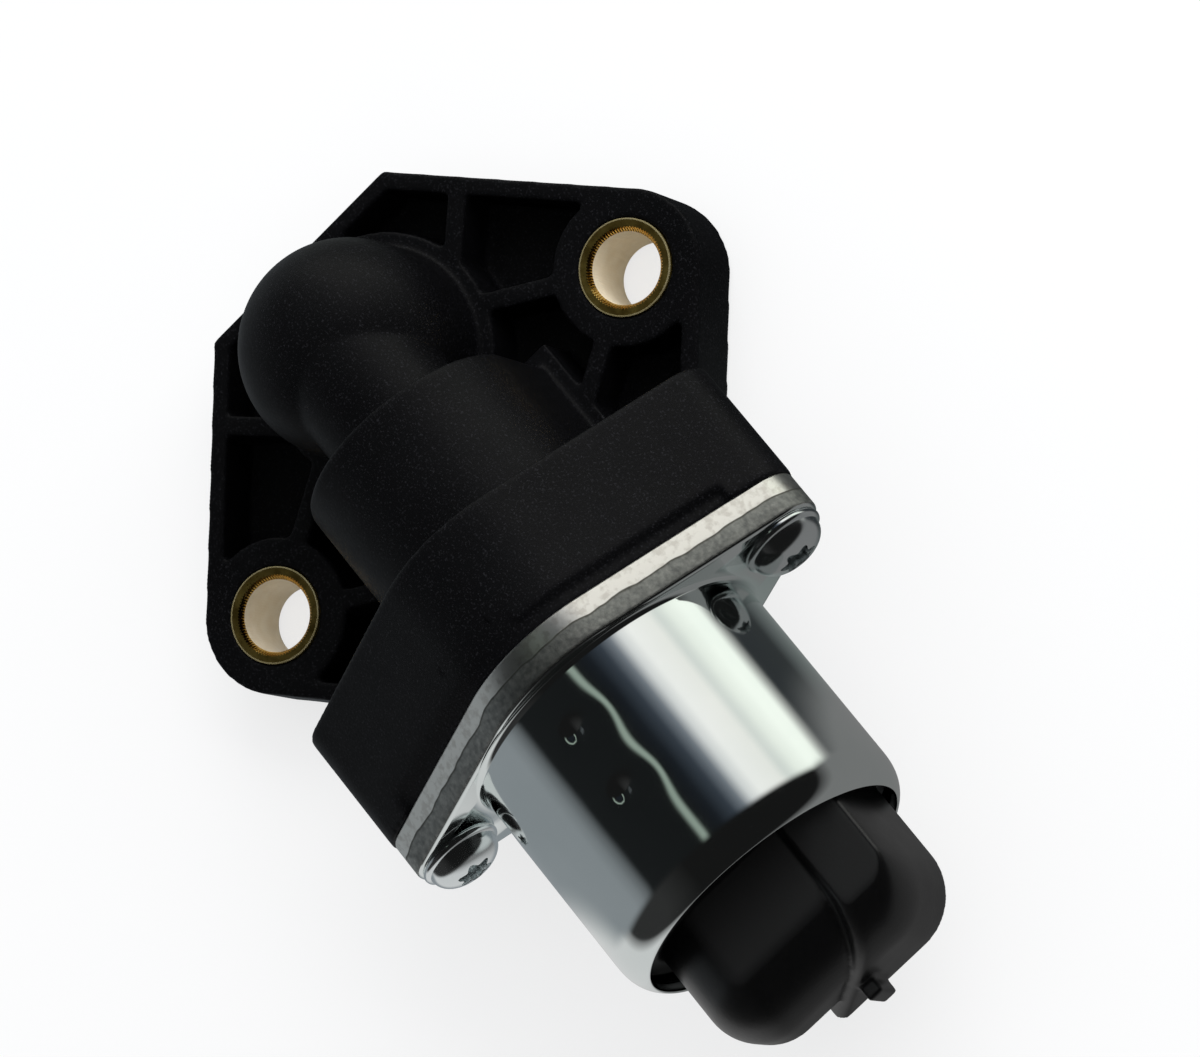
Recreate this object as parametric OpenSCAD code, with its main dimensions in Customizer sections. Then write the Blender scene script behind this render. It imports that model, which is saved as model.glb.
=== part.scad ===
// Idle air control valve: a moulded valve body with two bolt sleeves, and a stepper motor in a steel can
// that drives a pintle along its screw spindle onto a seat in the body.
// The origin is the middle of the two bolt holes on the mating face. +X runs along the motor from the
// elbow to the connector, +Y along the line of the bolts, and +Z from the mating face up through the plate.

/* [Plate] */
// Thickness of the plate
plate_t = 9.2; // [7:0.1:10.5]
// Distance between the two bolt holes
bolt_spacing = 57.6; // [56:0.1:60]
// Angle between the plate's sloping sides and the motor axis
side_angle = 42; // [40:0.5:45]
// Distance from the bolt line to each cut corner
plate_cut = 29.8; // [28:0.2:32]
// Floor left under the pockets
pocket_floor = 2.4; // [2:0.1:3.5]
// Wall round the outside of the pockets
rim_wall = 2.1; // [1.2:0.1:2.6]
// Width of the ribs between the pockets
rib_wall = 2.3; // [1.5:0.1:3]
// Wall round each bolt sleeve
sleeve_boss_wall = 3.4; // [3:0.1:4]
// Ledge round the foot of the elbow and of the barrel
foot_ledge = 1.9; // [1.2:0.1:2.4]

/* [Bolt sleeves] */
// Outer diameter of a sleeve
sleeve_od = 11.3; // [10.6:0.1:11.8]
// Bore of a sleeve
sleeve_id = 8.4; // [6.4:0.1:8.8]
// How far a sleeve stands out of the plate
sleeve_proud = 0.15; // [0.05:0.05:0.4]
// Chamfer in the mouth of a sleeve
sleeve_chamfer = 0.5; // [0.2:0.1:0.8]

/* [Elbow and neck] */
// Diameter of the elbow
elbow_d = 25.2; // [24:0.2:26]
// Distance from the bolt line to the middle of the elbow
elbow_back = 13.6; // [13:0.1:14.4]
// Distance of the middle of the dome below the motor axis
dome_drop = 3.8; // [1.6:0.1:4]
// Diameter of the neck
neck_d = 17; // [16:0.5:18.5]

/* [Barrel] */
// Diameter of the barrel and width of its pedestal
barrel_d = 28.2; // [27:0.2:30]
// Distance from the bolt line to the rear wall of the barrel
barrel_start = 1.4; // [0.8:0.1:1.8]
// Length of the barrel up to the motor flange
barrel_len = 18; // [17.5:0.5:20]

/* [Air passages] */
// Diameter of the port under the elbow
port_in_d = 18; // [15:0.5:18.5]
// Diameter of the port under the barrel
port_out_d = 12; // [10:0.5:12.5]
// Distance between the wall of the seat and the port under the barrel
port_out_gap = 0.4; // [0.2:0.1:1]
// Bore of the neck
neck_bore_d = 11; // [10.5:0.5:12]
// Bore of the chamber in the barrel
chamber_d = 21; // [20:0.5:21.5]
// Bore of the valve seat
seat_d = 9.2; // [8.6:0.1:10]
// Thickness of the wall that holds the seat
seat_wall = 3.2; // [2.6:0.1:3.4]

/* [Motor flange] */
// Thickness of the moulded flange
flange_t = 16; // [14:0.2:17]
// How far the flange stands over the can at its top and bottom
flange_margin = 1.9; // [1.6:0.1:2.8]
// Radius of the flange's top and bottom
flange_apex_r = 15; // [14.6:0.1:16]
// Radius of the flange's ears
ear_r = 5.4; // [5.2:0.1:6]
// Gap between the flange and the plane of the mating face
flange_lift = 0.1; // [0.1:0.1:2]
// Width of the step at the flange's front edge
rebate_w = 2; // [1:0.1:3]
// Depth of that step
rebate_depth = 0.7; // [0.3:0.1:1]

/* [Motor can] */
// Outer diameter of the can
can_d = 37; // [36.6:0.1:37.4]
// Wall of the can
can_wall = 1; // [0.8:0.05:1.2]
// Thickness of the can's flange
can_flange_t = 4.8; // [4.4:0.1:6]
// Length of the can in front of its flange
can_len = 28.6; // [28.2:0.2:33]
// Radius of the can's rolled shoulder
shoulder_r = 3.2; // [2.6:0.1:3.6]
// Fillet between the can and its flange
root_r = 0.7; // [0.3:0.1:0.8]
// Edge that the moulded flange shows round the steel one
flange_edge = 0.2; // [0.1:0.1:0.5]
// Diameter of a staking dent
dent_d = 2.4; // [1.6:0.1:3]
// Depth of a staking dent
dent_depth = 0.35; // [0.2:0.05:0.5]

/* [Motor screws] */
// Thread diameter
screw_d = 5; // [4:0.1:5.2]
// Length under the head
screw_len = 16; // [13:0.5:18]
// Diameter of the head
head_d = 9.8; // [8.4:0.1:10]
// Height of the head with its collar
head_h = 3.6; // [3:0.1:4.2]
// Height of the collar
collar_h = 0.9; // [0.6:0.1:1.2]
// Gap between a screw's head and the can
head_gap = 2; // [1:0.1:2.6]
// Size over the lobes of the drive recess
recess_d = 4.6; // [3.6:0.1:5]
// Depth of the drive recess
recess_depth = 2; // [1.4:0.1:2.4]

/* [Connector] */
// Width over both lobes
conn_w = 28.8; // [28:0.2:30]
// Height of the left lobe over the motor axis
conn_top = 7.5; // [7:0.1:8.4]
// Depth of the left lobe below the motor axis
conn_low = 3; // [2:0.2:4]
// Length of the left lobe in front of the can
conn_reach = 13.2; // [12.4:0.2:15]
// Extra length of the right lobe
lobe_step = 1; // [0.6:0.1:2]
// Extra height of the right lobe
lobe_rise = 0.8; // [0.4:0.1:1.4]
// Extra depth of the right lobe
lobe_drop = 3.4; // [2:0.2:5]
// Radius of the left lobe's corners
conn_r = 6; // [4.5:0.5:6.5]
// Radius of the right lobe's corners
lobe_r = 8; // [6.5:0.5:8.5]
// Where the groove between the lobes runs, from the motor axis
groove_at = 7; // [5:0.5:7.5]
// Width of that groove
groove_w = 1; // [0.6:0.1:1.4]
// Wall of the socket
socket_wall = 2; // [1.5:0.1:2.6]
// Depth of the socket
socket_depth = 11; // [9:0.5:13]
// Pitch of the terminals
pin_pitch = 4.8; // [4:0.1:5]
// Width of a terminal
pin_w = 1; // [0.6:0.1:1.4]
// Length of a terminal in the socket
pin_len = 6; // [5:0.5:8.5]

/* [Motor nose and bearing] */
// Diameter of the nose that plugs into the body
nose_d = 22; // [21.6:0.1:22.8]
// Length of the nose
nose_len = 10; // [9:0.5:10.5]
// Thickness of the end plate behind the nose
end_plate_t = 2.6; // [2.2:0.1:3.2]
// Outer diameter of the ball bearing
bearing_od = 16; // [15.5:0.1:16.5]
// Bore of the ball bearing
bearing_id = 8; // [7.6:0.1:8.2]
// Width of the ball bearing
bearing_w = 5; // [4.5:0.1:5.4]
// Diameter of a ball
ball_d = 2; // [1.6:0.1:2.2]
// Number of balls
ball_n = 8; // [6:1:9]
// Length of the guide bush
bush_len = 5; // [3:0.5:5.5]
// Outer diameter of the guide bush and of the rear bush
bush_od = 8.4; // [8:0.1:8.8]

/* [Stator] */
// Length of one pole cup
cup_len = 10.9; // [10:0.1:11.2]
// Sheet thickness of the pole cups
pole_t = 1; // [0.8:0.1:1.2]
// Thickness of the plate between the cups
mid_t = 1.4; // [1:0.1:1.6]
// Number of claws on each pole
claw_n = 6; // [4:1:8]
// Width of a claw
claw_w = 4; // [3:0.1:4.4]
// Radial thickness of a claw
claw_t = 0.8; // [0.5:0.1:1]
// Radial wall of a bobbin
bobbin_wall = 0.8; // [0.6:0.1:1]
// Gap between a bobbin and its pole cup
bobbin_gap = 1; // [0.6:0.1:2]

/* [Rotor] */
// Diameter of the magnet
magnet_d = 18.4; // [17.4:0.1:18.6]
// Length of the magnet
magnet_len = 20; // [16:0.5:21]
// Diameter of the hub inside the magnet
hub_d = 10.8; // [10:0.1:12]
// Diameter of the rear journal
journal_d = 6.6; // [6.2:0.1:7]

/* [Spindle, pintle and spring] */
// Diameter of the screw spindle
spindle_d = 5; // [4.4:0.1:5.2]
// Depth of the flat along the spindle's front
flat_depth = 0.5; // [0.3:0.1:0.7]
// Travel of the pintle
travel = 8; // [6:0.5:8]
// Diameter of the pintle's head
pintle_d = 13.2; // [12.4:0.1:14]
// Half angle of the pintle's cone
cone_angle = 25; // [22:1:28]
// Diameter of the pintle's tip
tip_d = 3.2; // [2.4:0.1:4]
// Length of the straight part of the head
pintle_head_len = 2.5; // [1.5:0.1:3]
// Diameter of the pintle's stem
stem_d = 7.6; // [7:0.1:7.8]
// Wire diameter of the spring
wire_d = 0.7; // [0.5:0.05:0.8]
// Turns of the spring
spring_turns = 5; // [4:1:6]

/* [Seals] */
// Section of the port seals
seal_d = 1.8; // [1.5:0.1:1.9]
// How far a port seal stands out of the mating face
seal_proud = 0.3; // [0.1:0.05:0.4]
// Section of the seal round the nose
nose_seal_d = 1.5; // [1.3:0.1:1.7]

/* [Fits] */
// Running fit between a shaft and its bore, on the radius
running = 0.06; // [0.03:0.01:0.08]
// Gap between pieces that are pushed together, on the radius
seated = 0.02; // [0.01:0.01:0.03]
// Gap round pieces that drop into place
loose = 0.1; // [0.08:0.01:0.14]

/* [Hidden] */
$fn = 64;
// Facets of the pieces that a hull rounds
soft_fn = 32;
// Overrun of every cut
over = 1;
// Extra radius with which an arc crosses the straight sides that it rounds
arc_lap = 0.03;

// Plate
bolt_y = bolt_spacing / 2;
corner_r = sleeve_od / 2 + sleeve_boss_wall;
// Place of the rib across the rim, as a share of the distance from the middle of the plate to a bolt
rib_place_share = -0.045;

// Motor axis and the planes across it
flange_half_h = can_d / 2 + flange_margin;
screw_y = can_d / 2 + head_gap + head_d / 2;
axis_h = flange_half_h + flange_lift;
flange_x = barrel_start + barrel_len;
steel_x = flange_x + flange_t;
can_x = steel_x + can_flange_t;
can_end_x = can_x + can_len;
shoulder_angle = 60;
shoulder_x = can_end_x - shoulder_r * sin(shoulder_angle);
can_bore_r = can_d / 2 - can_wall;
mouth_r = can_bore_r - (shoulder_r - can_wall) * (1 - cos(shoulder_angle));

// Elbow
dome_z = axis_h - dome_drop;
seat_x = barrel_start + seat_wall;
port_out_x = seat_x + port_out_gap + port_out_d / 2;

// Motor nose, bearing and stator
motor_bore_r = nose_d / 2 + loose;
nose_x = steel_x - nose_len;
stack_x = steel_x + end_plate_t;
mid_x = stack_x + cup_len;
rear_cup_x = mid_x + mid_t;
base_x = rear_cup_x + cup_len + loose;
inner_r = can_bore_r - loose;
bearing_x = stack_x - bearing_w - 1.2 * ball_d / 2;
bearing_mid_r = (bearing_od + bearing_id) / 4;
race_gap = 0.8 * ball_d;
race_relief = 0.2 * ball_d;

// Spindle and pintle, with the valve closed
cone_back_x = seat_x + (pintle_d / 2 - seat_d / 2 + loose) / tan(cone_angle);
tip_x = cone_back_x - (pintle_d / 2 - tip_d / 2) / tan(cone_angle);
head_back_x = cone_back_x + pintle_head_len;
stem_end_x = nose_x - travel - 4 * loose;
hub_x = bearing_x + race_relief / 2;
journal_x = base_x - 4 * loose;
journal_end_x = journal_x + bush_len * 0.7;
spindle_end_x = journal_end_x - travel - pole_t;
spindle_x = cone_back_x;
spring_r = stem_d / 2 + wire_d + 3 * loose;

// Connector
conn_end_x = can_end_x + conn_reach;
socket_x = can_end_x + socket_wall;
// Where the groove turns from the top of the lobes onto their end, as shares of the width and height
groove_turn_share = 0.8;
groove_foot_share = -0.75;
shroud_low = conn_low + lobe_drop;
socket_top = socket_depth - shroud_low;
pin_z = (conn_top + socket_top) / 2;

body_black = "#1c1c1e";
brass = "#b39a3c";
rubber = "#101011";
zinc = "#c3c9cc";
steel = "#9aa0a4";
copper = "#b26a3c";
ferrite = "#3a3a3d";
nylon = "#d8d2c0";

// Puts a shape whose own Z runs along the motor axis at the place x along it
module on_axis(x) {
    translate([x, 0, axis_h]) rotate([90, 0, 90]) children();
}

// A tube whose bore runs right through
module tube(outer_r, inner_r, length) {
    difference() {
        cylinder(r = outer_r, h = length);
        translate([0, 0, -over]) cylinder(r = inner_r, h = length + 2 * over);
    }
}

// A ring of round section
module ring(mid_r, section_r) {
    rotate_extrude($fn = 96) translate([mid_r, 0]) circle(r = section_r, $fn = 32);
}

// Outline of the plate, moved inwards by inset, with round corners at the bolts
module plate_block(height, inset = 0) {
    cut = plate_cut - inset;
    arc_r = corner_r - inset;
    touch = [arc_r * sin(side_angle), bolt_y + arc_r * cos(side_angle)];
    quarter = [[cut, touch.y - (cut - touch.x) * tan(side_angle)], touch];
    linear_extrude(height) polygon([
        quarter[0], quarter[1],
        [-quarter[1].x, quarter[1].y], [-quarter[0].x, quarter[0].y],
        [-quarter[0].x, -quarter[0].y], [-quarter[1].x, -quarter[1].y],
        [quarter[1].x, -quarter[1].y], [quarter[0].x, -quarter[0].y]
    ]);
    for (side = [-1, 1]) translate([0, side * bolt_y, 0]) cylinder(r = arc_r + arc_lap, h = height);
}

// Outline of the motor flange, moved inwards by inset: two ears and two blunt apexes joined by tangents
module flange_block(length, inset = 0) {
    apex_r = flange_apex_r - inset;
    end_r = ear_r - inset;
    apex_z = flange_half_h - flange_apex_r;
    span = sqrt(screw_y * screw_y + apex_z * apex_z);
    lean = asin((apex_r - end_r) / span) + atan2(apex_z, screw_y);
    side = [sin(lean), cos(lean)];
    ear_point = [screw_y + end_r * side.x, end_r * side.y];
    apex_point = [apex_r * side.x, apex_z + apex_r * side.y];
    linear_extrude(length) polygon([
        ear_point, apex_point, [-apex_point.x, apex_point.y], [-ear_point.x, ear_point.y],
        [-ear_point.x, -ear_point.y], [-apex_point.x, -apex_point.y],
        [apex_point.x, -apex_point.y], [ear_point.x, -ear_point.y]
    ]);
    for (end = [-1, 1]) {
        translate([end * screw_y, 0, 0]) cylinder(r = end_r, h = length);
        translate([0, end * apex_z, 0]) cylinder(r = apex_r, h = length);
    }
}

// Ribs between the pockets on one side of the motor axis: one square across the rim, two from the bolt
module plate_ribs() {
    rotate(45) translate([bolt_y * rib_place_share - rib_wall / 2, 0, 0])
        cube([rib_wall, 1.2 * bolt_y, plate_t]);
    for (lean = [-31, 31]) translate([0, bolt_y, 0]) rotate(lean - 90) translate([0, -rib_wall / 2, 0])
        cube([0.65 * bolt_y, rib_wall, plate_t]);
}

// Everything that is cut out of the plate's front to leave its rim, ribs and bosses
module plate_pockets() {
    ledge_r = elbow_d / 2 + foot_ledge;
    ledge_y = barrel_d / 2 + foot_ledge;
    translate([0, 0, pocket_floor]) difference() {
        plate_block(plate_t, rim_wall);
        translate([-elbow_back, 0, -over]) cylinder(r = ledge_r, h = plate_t + 2 * over);
        for (side = [-1, 1])
            translate([0, side * bolt_y, -over]) cylinder(r = corner_r, h = plate_t + 2 * over);
        translate([barrel_start - foot_ledge, -ledge_y, -over])
            cube([bolt_spacing, 2 * ledge_y, plate_t + 2 * over]);
        translate([flange_x - rim_wall, -bolt_spacing, -over])
            cube([bolt_spacing, 2 * bolt_spacing, plate_t + 2 * over]);
        plate_ribs();
        mirror([0, 1, 0]) plate_ribs();
    }
}

// Outside of the moulding above the plate
module body_outside() {
    plate_block(plate_t);
    translate([-elbow_back, 0, 0]) cylinder(r = elbow_d / 2, h = dome_z);
    translate([-elbow_back, 0, dome_z]) sphere(r = elbow_d / 2);
    on_axis(-elbow_back) cylinder(r = neck_d / 2, h = elbow_back + seat_x);
    on_axis(barrel_start) cylinder(r = barrel_d / 2, h = barrel_len + flange_t / 2);
    translate([barrel_start, -barrel_d / 2, 0]) cube([barrel_len + flange_t / 2, barrel_d, axis_h]);
    on_axis(flange_x) flange_block(flange_t);
}

// The step that runs along the flange's front edge between its ears
module flange_rebate() {
    on_axis(steel_x - rebate_w) difference() {
        translate([-screw_y, -flange_half_h - over, 0])
            cube([2 * screw_y, 2 * (flange_half_h + over), rebate_w + over]);
        translate([0, 0, -over]) flange_block(rebate_w + 3 * over, rebate_depth);
    }
}

// The way of the air: up the elbow, along the neck, through the seat and down out of the chamber
module air_passages() {
    dome_r = port_in_d / 2;
    translate([-elbow_back, 0, -over]) cylinder(r = dome_r, h = dome_z + over);
    translate([-elbow_back, 0, dome_z]) sphere(r = dome_r);
    on_axis(-elbow_back) cylinder(r = neck_bore_d / 2, h = elbow_back + barrel_start);
    on_axis(0) cylinder(r = seat_d / 2, h = seat_x + over);
    on_axis(seat_x) cylinder(r = chamber_d / 2, h = steel_x - seat_x);
    translate([port_out_x, 0, -over]) cylinder(r = port_out_d / 2, h = axis_h + over);
}

// Grooves in the mating face that hold the port seals
module seal_groove(x, port_d) {
    groove_depth = seal_d - seal_proud;
    mid_r = port_seal_r(port_d);
    translate([x, 0, -over]) difference() {
        cylinder(r = mid_r + seal_d / 2 + loose, h = groove_depth + over);
        translate([0, 0, -over]) cylinder(r = mid_r - seal_d / 2 - loose, h = groove_depth + 3 * over);
    }
}

function port_seal_r(port_d) = port_d / 2 + seal_d / 2 + foot_ledge / 2;

// Black glass filled nylon moulding with the plate, the elbow, the barrel and the motor flange in one
module valve_body() {
    color(body_black) difference() {
        body_outside();
        plate_pockets();
        flange_rebate();
        air_passages();
        seal_groove(-elbow_back, port_in_d);
        seal_groove(port_out_x, port_out_d);
        for (side = [-1, 1]) {
            translate([0, side * bolt_y, -over]) cylinder(r = sleeve_od / 2 + seated, h = plate_t + 2 * over);
            on_axis(can_x - screw_len - loose) translate([side * screw_y, 0, 0])
                cylinder(r = screw_d / 2 + seated, h = screw_len);
        }
        on_axis(nose_x - 4 * loose) cylinder(r = motor_bore_r, h = nose_len + 4 * loose + over);
    }
}

// Brass sleeve that takes the load of a bolt
module bolt_sleeve(side) {
    sleeve_len = plate_t + sleeve_proud;
    color(brass) translate([0, side * bolt_y, 0]) difference() {
        cylinder(r = sleeve_od / 2, h = sleeve_len);
        translate([0, 0, -over]) cylinder(r = sleeve_id / 2, h = sleeve_len + 2 * over);
        translate([0, 0, sleeve_len - sleeve_chamfer]) cylinder(
            r1 = sleeve_id / 2, r2 = sleeve_id / 2 + sleeve_chamfer + over, h = sleeve_chamfer + over);
    }
}

module sleeve_left() { bolt_sleeve(-1); }

module sleeve_right() { bolt_sleeve(1); }

// Rubber ring that stands a little out of its groove in the mating face
module port_seal(x, port_d) {
    color(rubber) translate([x, 0, seal_d / 2 - seal_proud]) ring(port_seal_r(port_d), seal_d / 2);
}

module port_seal_inlet() { port_seal(-elbow_back, port_in_d); }

module port_seal_outlet() { port_seal(port_out_x, port_out_d); }

// Section of the can's wall in radius and length, with its root fillet and its rolled shoulder
function can_wall_section() = let (
        outer = can_d / 2,
        roll_r = outer - shoulder_r,
        root_steps = [0 : 15 : 90],
        roll_steps = [0 : 10 : shoulder_angle],
        flange = can_flange_t
    ) concat(
        [[can_bore_r, flange - root_r], [outer + root_r, flange - root_r]],
        [for (a = root_steps) [outer + root_r * (1 - sin(a)), flange + root_r * (1 - cos(a))]],
        [for (a = roll_steps) [roll_r + shoulder_r * cos(a), shoulder_x - steel_x + shoulder_r * sin(a)]],
        [for (a = roll_steps) let (b = shoulder_angle - a)
            [roll_r + (shoulder_r - can_wall) * cos(b),
             shoulder_x - steel_x + (shoulder_r - can_wall) * sin(b)]]
    );

// Zinc plated steel can, drawn in one with its thick two ear flange, and staked onto the stator
module motor_can() {
    // Places of the staking dents as a share of the length, and their angle from the top
    dent_place_shares = [[0.22, -4], [0.52, -4], [0.15, 69], [0.15, -77]];
    dent_ball_r = (dent_d * dent_d / 4 + dent_depth * dent_depth) / (2 * dent_depth);
    color(zinc) on_axis(steel_x) difference() {
        union() {
            flange_block(can_flange_t, flange_edge);
            rotate_extrude($fn = 128) polygon(can_wall_section());
        }
        translate([0, 0, -over]) cylinder(r = can_bore_r, h = can_flange_t + over);
        for (side = [-1, 1]) translate([side * screw_y, 0, -over])
            cylinder(r = screw_d / 2 + 2 * loose, h = can_flange_t + 2 * over);
        for (dent = dent_place_shares) rotate(-dent[1])
            translate([0, can_d / 2 - dent_depth + dent_ball_r, can_flange_t + dent[0] * can_len])
                sphere(r = dent_ball_r, $fn = 48);
    }
}

// Pan head screw with a six lobe recess, which holds the motor on the body
module motor_screw(side) {
    lobe_r = recess_d * 0.16;
    dome_h = head_h - collar_h;
    crown_r = head_d / 2 - collar_h / 2;
    color(zinc) on_axis(can_x) translate([side * screw_y, 0, 0]) difference() {
        union() {
            translate([0, 0, -screw_len]) cylinder(r = screw_d / 2, h = screw_len);
            cylinder(r = head_d / 2, h = collar_h);
            translate([0, 0, collar_h]) rotate_extrude() intersection() {
                translate([0, 0]) scale([crown_r, dome_h]) circle(r = 1);
                square([crown_r, dome_h]);
            }
        }
        translate([0, 0, head_h - recess_depth]) {
            cylinder(r = recess_d / 2 - lobe_r, h = recess_depth + over);
            for (turn = [0 : 60 : 300]) rotate(turn) translate([recess_d / 2 - lobe_r, 0, 0])
                cylinder(r = lobe_r, h = recess_depth + over, $fn = 24);
        }
    }
}

module screw_left() { motor_screw(-1); }

module screw_right() { motor_screw(1); }

// Rubber ring in the groove of the nose
module nose_seal() {
    color(rubber) on_axis(nose_x + nose_len / 3) ring(motor_bore_r - nose_seal_d / 2 - seated, nose_seal_d / 2);
}

// End plate of the motor with its nose, which holds the guide bush and the bearing
module motor_nose() {
    groove_w_half = nose_seal_d / 2 + loose;
    groove_r = motor_bore_r - nose_seal_d - 2 * seated;
    color(steel) on_axis(nose_x) difference() {
        union() {
            cylinder(r = nose_d / 2, h = nose_len);
            translate([0, 0, nose_len]) cylinder(r = inner_r, h = end_plate_t);
        }
        translate([0, 0, nose_len / 3 - groove_w_half]) tube(nose_d, groove_r, 2 * groove_w_half);
        translate([0, 0, -over]) cylinder(r = bush_od / 2 + seated, h = bush_len + over);
        translate([0, 0, -over]) cylinder(r = spindle_d / 2 + 4 * loose, h = nose_len + over);
        translate([0, 0, bearing_x - nose_x - race_relief])
            cylinder(r = bearing_od / 2 - race_relief * 3, h = nose_len);
        translate([0, 0, bearing_x - nose_x]) cylinder(r = bearing_od / 2 + seated, h = nose_len);
    }
}

// Bush in the nose: its flat keeps the spindle from turning
module guide_bush() {
    bore_r = spindle_d / 2 + running;
    color(brass) on_axis(nose_x) difference() {
        cylinder(r = bush_od / 2, h = bush_len);
        translate([0, 0, -over]) intersection() {
            cylinder(r = bore_r, h = bush_len + 2 * over);
            translate([-bore_r, -bore_r, 0])
                cube([2 * bore_r, 2 * bore_r - flat_depth, bush_len + 2 * over]);
        }
    }
}

// Bush in the connector's base that the rotor's rear journal turns in
module rear_bush() {
    color(brass) on_axis(base_x) tube(bush_od / 2, journal_d / 2 + running, bush_len * 0.7);
}

// Outer ring of the ball bearing, seated in the nose
module bearing_outer_ring() {
    color(steel) on_axis(bearing_x) difference() {
        tube(bearing_od / 2, bearing_mid_r + race_gap / 2, bearing_w);
        translate([0, 0, bearing_w / 2]) ring(bearing_mid_r, ball_d / 2 + running);
    }
}

// Inner ring of the ball bearing, pressed on the rotor's hub
module bearing_inner_ring() {
    color(steel) on_axis(bearing_x) difference() {
        tube(bearing_mid_r - race_gap / 2, bearing_id / 2, bearing_w);
        translate([0, 0, bearing_w / 2]) ring(bearing_mid_r, ball_d / 2 + seated);
    }
}

module bearing_balls() {
    color(steel) on_axis(bearing_x + bearing_w / 2) for (i = [0 : ball_n - 1])
        rotate(i * 360 / ball_n) translate([bearing_mid_r, 0, 0]) sphere(r = ball_d / 2, $fn = 32);
}

// Claws that reach between those of the facing pole
module claws(length, turn) {
    claw_in_r = magnet_d / 2 + 5 * loose;
    intersection() {
        tube(claw_in_r + claw_t, claw_in_r, length);
        for (i = [0 : claw_n - 1]) rotate(turn + i * 360 / claw_n)
            translate([0, -claw_w / 2, 0]) cube([magnet_d, claw_w, length]);
    }
}

// Steel cup round one coil, open towards the middle plate, with its claws
module pole_cup() {
    claw_in_r = magnet_d / 2 + 5 * loose;
    color(steel) {
        difference() {
            cylinder(r = inner_r, h = cup_len);
            translate([0, 0, pole_t]) cylinder(r = inner_r - pole_t, h = cup_len);
            translate([0, 0, -over]) cylinder(r = claw_in_r, h = cup_len);
        }
        claws(cup_len - 2 * pole_t, 0);
    }
}

module pole_cup_front() { on_axis(stack_x) pole_cup(); }

module pole_cup_rear() { on_axis(rear_cup_x + cup_len) mirror([0, 0, 1]) pole_cup(); }

// Plate between the cups, with claws both ways
module pole_plate() {
    claw_in_r = magnet_d / 2 + 5 * loose;
    reach = cup_len - 2 * pole_t;
    color(steel) on_axis(mid_x) {
        tube(inner_r, claw_in_r, mid_t);
        translate([0, 0, -reach]) claws(reach + mid_t / 2, 180 / claw_n);
        translate([0, 0, mid_t / 2]) claws(reach + mid_t / 2, 180 / claw_n);
    }
}

// Inner radius of a bobbin, which the claws lie in
function bobbin_r() = magnet_d / 2 + 5 * loose + claw_t + loose;

// Outer radius of a bobbin, which lies in its pole cup
function bobbin_rim_r() = inner_r - pole_t - bobbin_gap;

// Nylon spool that a coil is wound on
module bobbin(x) {
    spool_len = cup_len - pole_t - 2 * loose;
    spool_r = bobbin_r() + bobbin_wall;
    color(nylon) on_axis(x) difference() {
        cylinder(r = bobbin_rim_r(), h = spool_len);
        translate([0, 0, -over]) cylinder(r = bobbin_r(), h = spool_len + 2 * over);
        translate([0, 0, bobbin_wall])
            tube(inner_r, spool_r, spool_len - 2 * bobbin_wall);
    }
}

module bobbin_front() { bobbin(stack_x + pole_t + loose); }

module bobbin_rear() { bobbin(rear_cup_x + loose); }

// Copper winding between the spool's ends
module winding(x) {
    spool_r = bobbin_r() + bobbin_wall;
    wound_len = cup_len - pole_t - 2 * loose - 2 * bobbin_wall;
    color(copper) on_axis(x + bobbin_wall) tube(bobbin_rim_r() - 2 * loose, spool_r, wound_len);
}

module winding_front() { winding(stack_x + pole_t + loose); }

module winding_rear() { winding(rear_cup_x + loose); }

// Ring magnet of the rotor, in the middle of both pole cups
module rotor_magnet() {
    color(ferrite) on_axis(mid_x + mid_t / 2 - magnet_len / 2)
        tube(magnet_d / 2, hub_d / 2, magnet_len);
}

// Hub of the rotor, with its journals and the nut that the spindle screws through
module rotor_hub() {
    color(brass) on_axis(0) difference() {
        union() {
            translate([0, 0, hub_x]) cylinder(r = bearing_id / 2, h = journal_x - hub_x);
            translate([0, 0, bearing_x + bearing_w + race_relief])
                cylinder(r = hub_d / 2, h = journal_x - bearing_x - bearing_w - race_relief);
            translate([0, 0, journal_x - over]) cylinder(r = journal_d / 2, h = journal_end_x - journal_x + over);
        }
        translate([0, 0, hub_x - over])
            cylinder(r = spindle_d / 2 + running, h = journal_end_x - hub_x + 2 * over);
    }
}

// Screw spindle with a flat along its front, which the rotor's nut moves along the axis
module spindle() {
    flat_end_x = nose_x + bush_len + travel + loose;
    color(steel) on_axis(0) difference() {
        translate([0, 0, spindle_x]) cylinder(r = spindle_d / 2, h = spindle_end_x - spindle_x);
        translate([-spindle_d, spindle_d / 2 - flat_depth, spindle_x - over])
            cube([2 * spindle_d, spindle_d, flat_end_x - spindle_x - travel + over]);
    }
}

// Plastic cone that closes the seat, pushed on the spindle's front end
module pintle() {
    grip_r = spindle_d / 2 + seated;
    color(body_black) on_axis(0) difference() {
        rotate_extrude() polygon([
            [0, tip_x], [tip_d / 2, tip_x], [pintle_d / 2, cone_back_x], [pintle_d / 2, head_back_x],
            [stem_d / 2, head_back_x], [stem_d / 2, stem_end_x], [0, stem_end_x]
        ]);
        translate([0, 0, spindle_x]) intersection() {
            cylinder(r = grip_r, h = stem_end_x);
            translate([-grip_r, -grip_r, 0])
                cube([2 * grip_r, 2 * grip_r - flat_depth - seated, stem_end_x]);
        }
    }
}

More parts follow.
